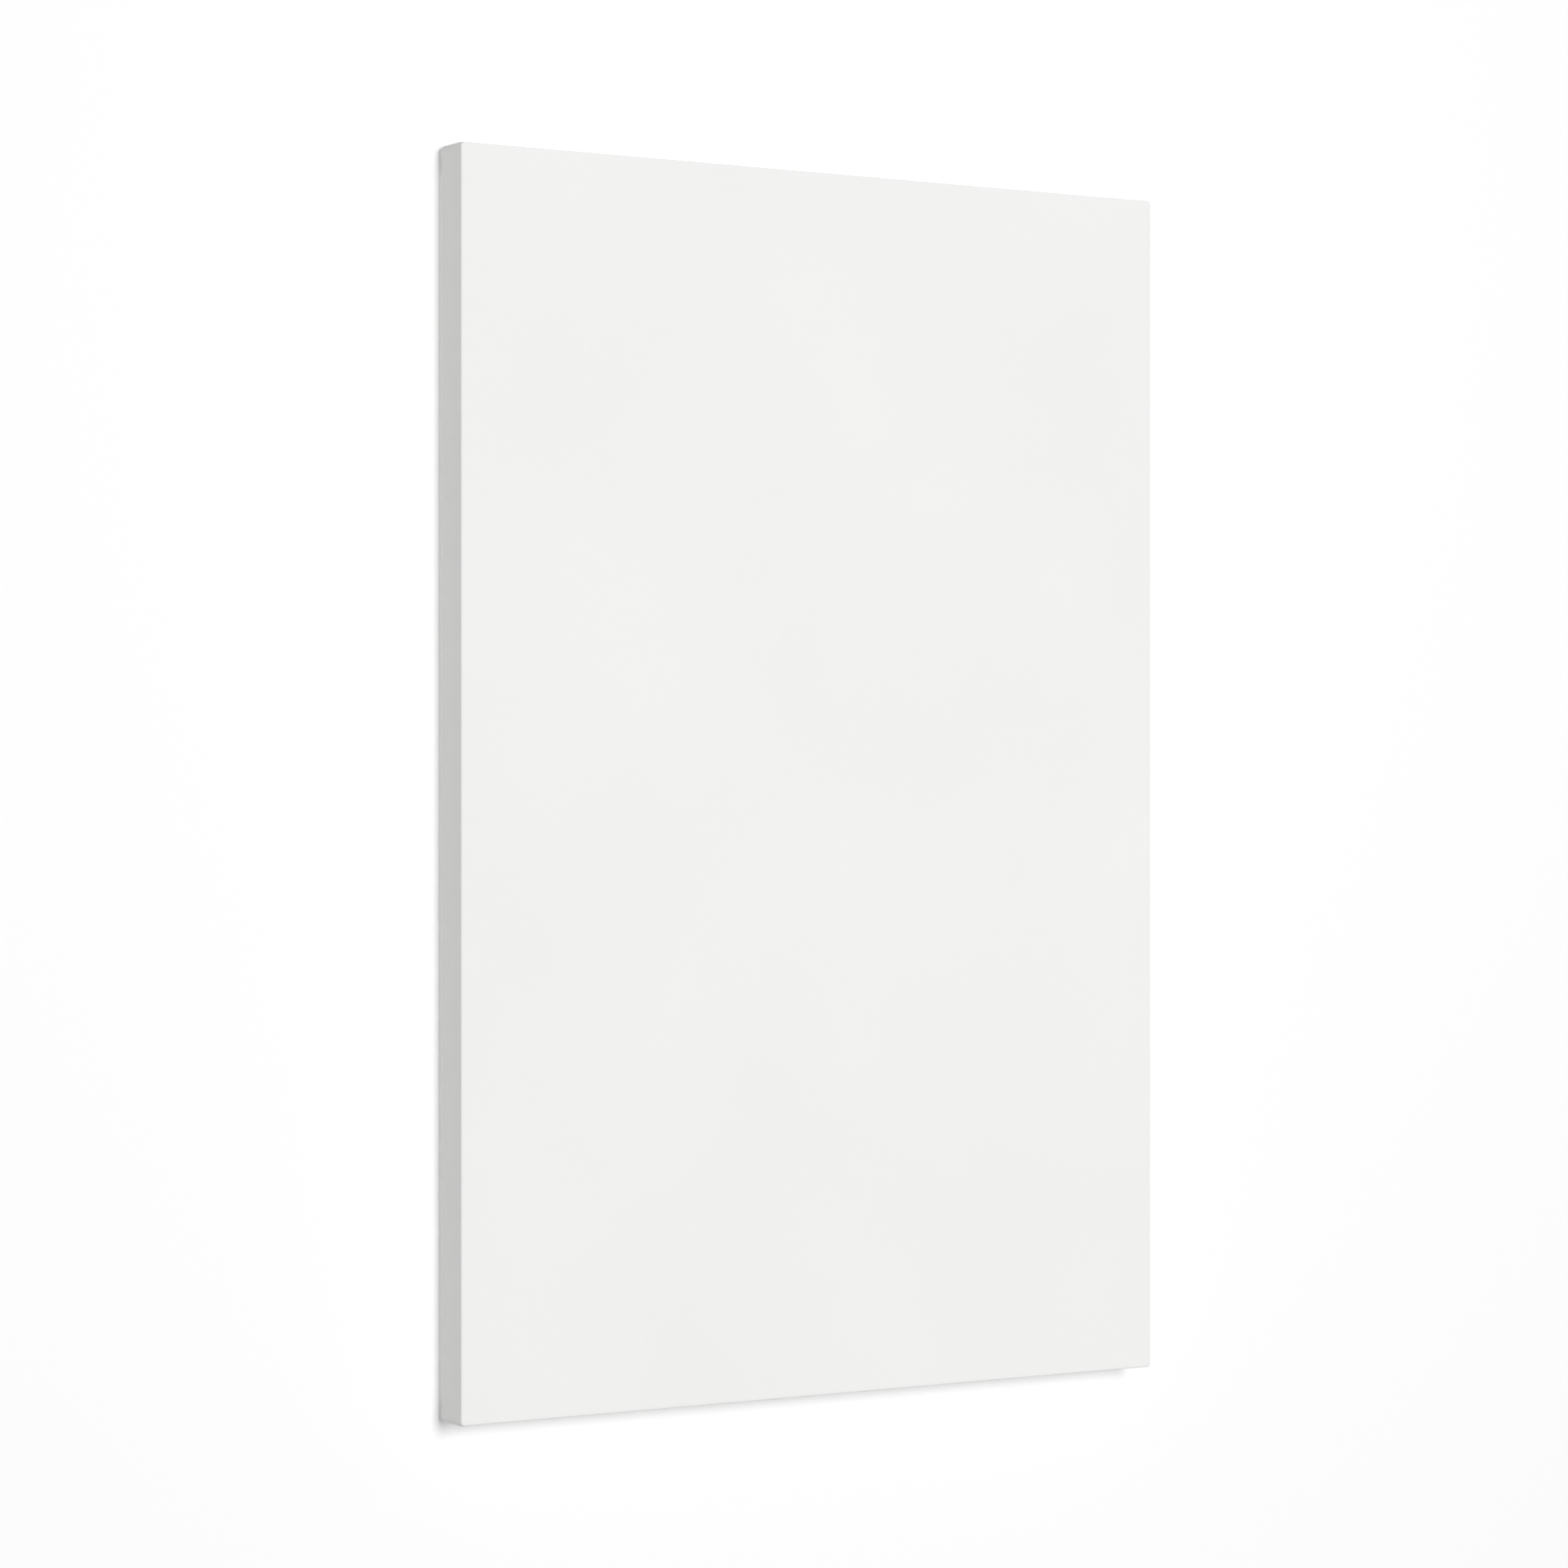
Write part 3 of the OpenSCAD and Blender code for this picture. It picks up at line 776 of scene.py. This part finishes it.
def staple_shape():
    """One staple: x along its crown, which is a little bowed, y out of the wood, from the cloth's back."""
    foot = WIRE_T - STAPLE_TALL
    half = (STAPLE_W - WIRE_T) / 2
    bend = WIRE_T
    path = [Vector((-half, foot, 0)), Vector((-half, foot / 2, 0))]
    for i in range(BEND_STEPS + 1):
        a = i / BEND_STEPS * math.pi / 2
        path.append(Vector((-half + bend * (1 - math.cos(a)), WIRE_T / 2 - bend * (1 - math.sin(a)), 0)))
    path.append(Vector((0, WIRE_T / 2 + CROWN_BOW, 0)))
    path += [Vector((-p.x, p.y, 0)) for p in reversed(path[:-1])]
    return wire_along("staple", path, Vector((0, 0, 1)), WIRE_W, WIRE_T, 8)


def staple_row(side, node, material):
    """The staples along one side, each turned by chance a little out of line."""
    wood = 2 * half_span(side) - 2 * CLOTH_T
    run = wood - 2 * STAPLE_END
    gaps = math.floor(run / STAPLE_PITCH)
    mesh = bmesh.new()
    for i in range(gaps + 1):
        place = ALONG[side] * (i / gaps - 0.5) * run + INWARD[side] * (STAPLE_IN - reach(side))
        mesh.verts.new(place + BACKWARD * CLOTH_BACK)
    shape = staple_shape()
    rows = Repeater("staple_rows")
    slack = rows.ask("Crooked by", "Float", CROOKED)
    facing = rows.ask("Facing", "Float", side * math.pi / 2)
    seed = rows.ask("Seed", "Int", side + 3)
    turn = rows.random("FLOAT", -1.0, 1.0, seed)
    turned = rows.add("ShaderNodeMath", turn, slack, facing, operation="MULTIPLY_ADD").outputs[0]
    about = rows.add("ShaderNodeCombineXYZ", 0.0, turned, 0.0).outputs[0]
    rows.place(rows.guide, rows.shape("Staple", shape), about)
    row = rows.run(node + "_wire", finished(mesh, "staple_places"), material, [shape])
    fit(row, BODY, node)


THREAD_LONG = 2.1 * MM
THREAD_ROOT = 0.2  # the part of it that lies under the cloth
THREAD_W, THREAD_T = 0.26 * MM, 0.24 * MM
THREAD_WAVE = 0.12 * MM
THREAD_LIFT = 0.22 * MM  # from the wood to the middle of a thread
THREAD_PARTS = 4
THREAD_PITCH = 1.5 * MM
THREAD_LEAN = 0.7  # radians either way
THREAD_SIZES = (0.35, 1.5)  # the shortest and the longest, against THREAD_LONG
THREAD_CURLS = ((0.25, 0.9), (-0.4, 0.6), (0.1, -1.4))  # how each shape bends, and hooks at its tip


def thread_shape(name, bend, hook):
    """A cut end of yarn: z away from the cloth, x along the edge that it sticks out of."""
    path = []
    for i in range(THREAD_PARTS + 1):
        t = i / THREAD_PARTS
        sway = bend * t * t + hook * max(0, t - 0.5) ** 2
        wave = THREAD_WAVE * math.sin(3 * t + bend)
        path.append(Vector((sway * THREAD_LONG, wave, (t - THREAD_ROOT) * THREAD_LONG)))
    return wire_along(name, path, Vector((0, 1, 0)), THREAD_W, THREAD_T, 3)


def thread_cotton():
    finish = Finish("thread_cotton", Roughness=0.9, Specular_IOR_Level=0.15)
    tint = finish.noise(finish.where(), 240.0, 1.0)
    finish.colour(finish.ramp(tint, (0.3, YARN_DEEP), (0.7, YARN_PALE)))
    return finish.material


def cut_edge():
    """The line round the back along which the cloth was cut, at the height of its threads."""
    mesh = bmesh.new()
    y = WOOD_BACK + THREAD_LIFT
    left, low = TURNED - WIDTH / 2, TURNED - HEIGHT / 2
    outline = ((left, low), (-left, low), (-left, -low), (left, -low))
    corners = [mesh.verts.new((x, y, z)) for x, z in outline]
    for i, corner in enumerate(corners):
        mesh.edges.new((corner, corners[(i + 1) % len(corners)]))
    return finished(mesh, "cut_edge")


def frayed_threads():
    """Short ends of yarn along the cut edge of the cloth, lying on the wood."""
    shapes = [thread_shape("thread_%d" % i, *curl) for i, curl in enumerate(THREAD_CURLS)]
    fray = Repeater("frayed_edge")
    spacing = fray.ask("Spacing", "Float", THREAD_PITCH)
    spread = fray.ask("Spread", "Float", THREAD_LEAN)
    seed = fray.ask("Seed", "Int", 11)
    line = fray.add("GeometryNodeMeshToCurve", fray.guide).outputs[0]
    points = fray.add("GeometryNodeCurveToPoints", line, mode="LENGTH")
    fray.feed(points.inputs["Length"], spacing)
    aligned = fray.add("FunctionNodeAlignRotationToVector", axis="X", pivot_axis="Y")
    fray.feed(aligned.inputs["Vector"], points.outputs["Tangent"])
    either_way = fray.random("FLOAT", -1.0, 1.0, seed)
    lean = fray.add("ShaderNodeMath", either_way, spread, operation="MULTIPLY").outputs[0]
    about = fray.add("ShaderNodeCombineXYZ", 0.0, lean, 0.0).outputs[0]
    turned = fray.add("FunctionNodeRotateRotation", aligned.outputs[0], about, rotation_space="LOCAL")
    mixed = fray.add("GeometryNodeJoinGeometry")
    for shape in shapes:
        single = fray.add("GeometryNodeGeometryToInstance", fray.shape(shape.name, shape)).outputs[0]
        fray.tree.links.new(single, mixed.inputs[0])
    size = fray.random("FLOAT", *THREAD_SIZES, 5)
    fray.place(points.outputs[0], mixed.outputs[0], turned.outputs[0], size, pick=True)
    threads = fray.run("frayed_threads", cut_edge(), thread_cotton(), shapes)
    fit(threads, BODY)
    return threads


# ---- Stage, light and camera ----


def plain(name, colour, glow=0.0, see_through_behind=False):
    finish = Finish(name, Roughness=0.9, Specular_IOR_Level=0.0, Emission_Strength=glow)
    finish.colour((*colour, 1))
    finish.shader.inputs["Emission Color"].default_value = (1, 1, 1, 1)
    if see_through_behind:
        clear = finish.add("ShaderNodeBsdfTransparent").outputs[0]
        behind = finish.add("ShaderNodeNewGeometry").outputs["Backfacing"]
        mix = finish.add("ShaderNodeMixShader", behind, finish.shader.outputs[0], clear)
        finish.feed(finish.tree.nodes["Material Output"].inputs[0], mix.outputs[0])
    return finish.material


def upright_rectangles(name, y, rectangles, material):
    """Rectangles (x0, z0, x1, z1) that stand at one depth and face the front."""
    mesh = bmesh.new()
    for x0, z0, x1, z1 in rectangles:
        mesh.faces.new([mesh.verts.new((x, y, z)) for x, z in ((x0, z0), (x1, z0), (x1, z1), (x0, z1))])
    piece = finished(mesh, name, material)
    return piece


ALL_RAYS = ("diffuse", "glossy", "transmission", "shadow", "volume_scatter")
FAR = 12.0  # how far the wall reaches
WALL_GAP = 0.2 * MM  # between the bumpers and the wall
FLOOR_DROP = 0.75  # from the canvas's lower edge to the floor


def hide_from_light(piece, *rays):
    for ray in rays:
        setattr(piece, "visible_" + ray, False)


def make_wall(floor_z):
    """A wall that is clear from behind, in four parts round the canvas's outline.

    The part behind the canvas is for the camera alone, so that light reaches the canvas's back.
    """
    y = CAD_BOX[1].y + WALL_GAP
    left, bottom, right, top = cloth_low.x, cloth_low.z, cloth_high.x, cloth_high.z
    paint = plain("wall_paint", (0.93, 0.93, 0.93), glow=0.05, see_through_behind=True)
    around = [
        (-FAR, floor_z, left, FAR),
        (right, floor_z, FAR, FAR),
        (left, floor_z, right, bottom),
        (left, top, right, FAR),
    ]
    upright_rectangles("wall", y, around, paint)
    patch = upright_rectangles("wall_behind", y, [(left, bottom, right, top)], paint)
    hide_from_light(patch, *ALL_RAYS)


def make_floor(floor_z):
    mesh = bmesh.new()
    edge = 3 * FAR
    corners = ((-edge, -edge), (edge, -edge), (edge, edge), (-edge, edge))
    mesh.faces.new([mesh.verts.new((x, y, floor_z)) for x, y in corners])
    floor = finished(mesh, "floor", plain("floor_paint", (0.9, 0.9, 0.9), glow=0.22))
    hide_from_light(floor, "diffuse", "shadow")


def make_backdrop():
    """A pale surround that only the camera sees."""
    mesh = bmesh.new()
    bmesh.ops.create_uvsphere(mesh, u_segments=48, v_segments=24, radius=4 * FAR)
    dome = finished(mesh, "backdrop", plain("backdrop_paint", (0.0, 0.0, 0.0), glow=0.8))
    hide_from_light(dome, *ALL_RAYS)


ROOM_LIGHT = 0.23  # strength of the pale light from all round
SOFTBOX_SPREAD = math.radians(70)
SOFTBOXES = {  # the way to each from the origin, how far it stands, its width and height, and its watts
    "key_light": ((0.022, -1.0, 0.15), 12.0, 4.1, 7.2, 199),
    "back_light": ((0.55, 1.0, 0.65), 5.0, 2.0, 2.0, 21),
    "back_fill": ((-0.6, 1.0, 0.1), 6.0, 5.0, 5.0, 19),
}


def softbox(name, towards, distance, wide, high, watts):
    data = bpy.data.lights.new(name, "AREA")
    data.shape = "ELLIPSE"
    data.size, data.size_y = wide, high
    data.spread = SOFTBOX_SPREAD
    data.energy = watts
    lamp = linked(name, data)
    lamp.visible_camera = False
    back = Vector(towards).normalized()
    lamp.location = back * distance
    lamp.rotation_euler = back.to_track_quat("Z", "Y").to_euler()


def make_light():
    """A soft key light in front, the room's own pale light, and two softer lights behind."""
    world = bpy.data.worlds.new("studio")
    bpy.context.scene.world = world
    world.use_nodes = True
    room = world.node_tree.nodes["Background"].inputs
    room["Color"].default_value = (1, 1, 1, 1)
    room["Strength"].default_value = ROOM_LIGHT
    for name, settings in SOFTBOXES.items():
        softbox(name, *settings)


CAMERA_LEFT, CAMERA_AWAY = 1.7674, 2.7789  # from the middle of the painting face
CAMERA_TURN = math.radians(-31.95)
CAMERA_LENS, CAMERA_SENSOR = 101.1, 36.0


def make_camera():
    data = bpy.data.cameras.new("camera")
    data.lens = CAMERA_LENS
    data.sensor_width = CAMERA_SENSOR
    camera = linked("camera", data)
    camera.location = (-CAMERA_LEFT, FACE_Y - CAMERA_AWAY, (cloth_low.z + cloth_high.z) / 2)
    camera.rotation_euler = (math.pi / 2, 0, CAMERA_TURN)
    bpy.context.scene.camera = camera


# ---- Putting it together ----

GRAIN = {  # each length of pine: where the tree's centre lay beside its section, and the width of its rings
    "bar_top": ((45 * MM, 20 * MM), 3.1 * MM),
    "bar_bottom": ((12 * MM, -60 * MM), 2.4 * MM),
    "bar_left": ((35 * MM, 40 * MM), 3.6 * MM),
    "bar_right": ((-10 * MM, -50 * MM), 2.8 * MM),
    "cross_brace": ((50 * MM, 8 * MM), 3.3 * MM),
}
SOFTENED = {"key": 0.35 * MM, "metal": 0.12 * MM, "bumper": 0.4 * MM}  # how wide a sharp edge is eased
ROUGHNESS = {"staple": (0.3, 0.46), "ring": (0.24, 0.42), "plate": (0.26, 0.44)}


def studio():
    bpy.context.scene.view_settings.view_transform = "Standard"
    make_camera()
    make_light()
    floor_z = CAD_BOX[0].z - FLOOR_DROP
    make_wall(floor_z)
    make_floor(floor_z)
    make_backdrop()


def stretched_cloth():
    """The cloth, the threads at its cut edge and the staples that hold it."""
    cloth = make_cloth()
    fit(cloth, BODY, "canvas")
    threads = frayed_threads()
    for side, node in enumerate(("staples_bottom", "staples_right", "staples_top", "staples_left")):
        staple_row(side, node, plated_steel("wire_" + node, STAPLE_WIRE, *ROUGHNESS["staple"]))


def timber():
    for number, (node, (heart, ring)) in enumerate(GRAIN.items()):
        repaint(node, pine(node, node in ("bar_left", "bar_right"), number, heart, ring))


def fittings():
    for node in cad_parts:
        if node.startswith("key_"):
            eased(node, node + "_body", SOFTENED["key"], beech(node, "side" not in node))
        elif node.startswith("hanger_ring"):
            repaint(node, plated_steel("zinc_" + node, ZINC, *ROUGHNESS["ring"]))
        elif node.startswith("hanger_"):
            steel = plated_steel("zinc_" + node, ZINC, *ROUGHNESS["plate"])
            eased(node, BODY, SOFTENED["metal"], steel)
        elif node.startswith("bumper_"):
            eased(node, BODY, SOFTENED["bumper"], bumper_rubber())


studio()
stretched_cloth()
timber()
fittings()
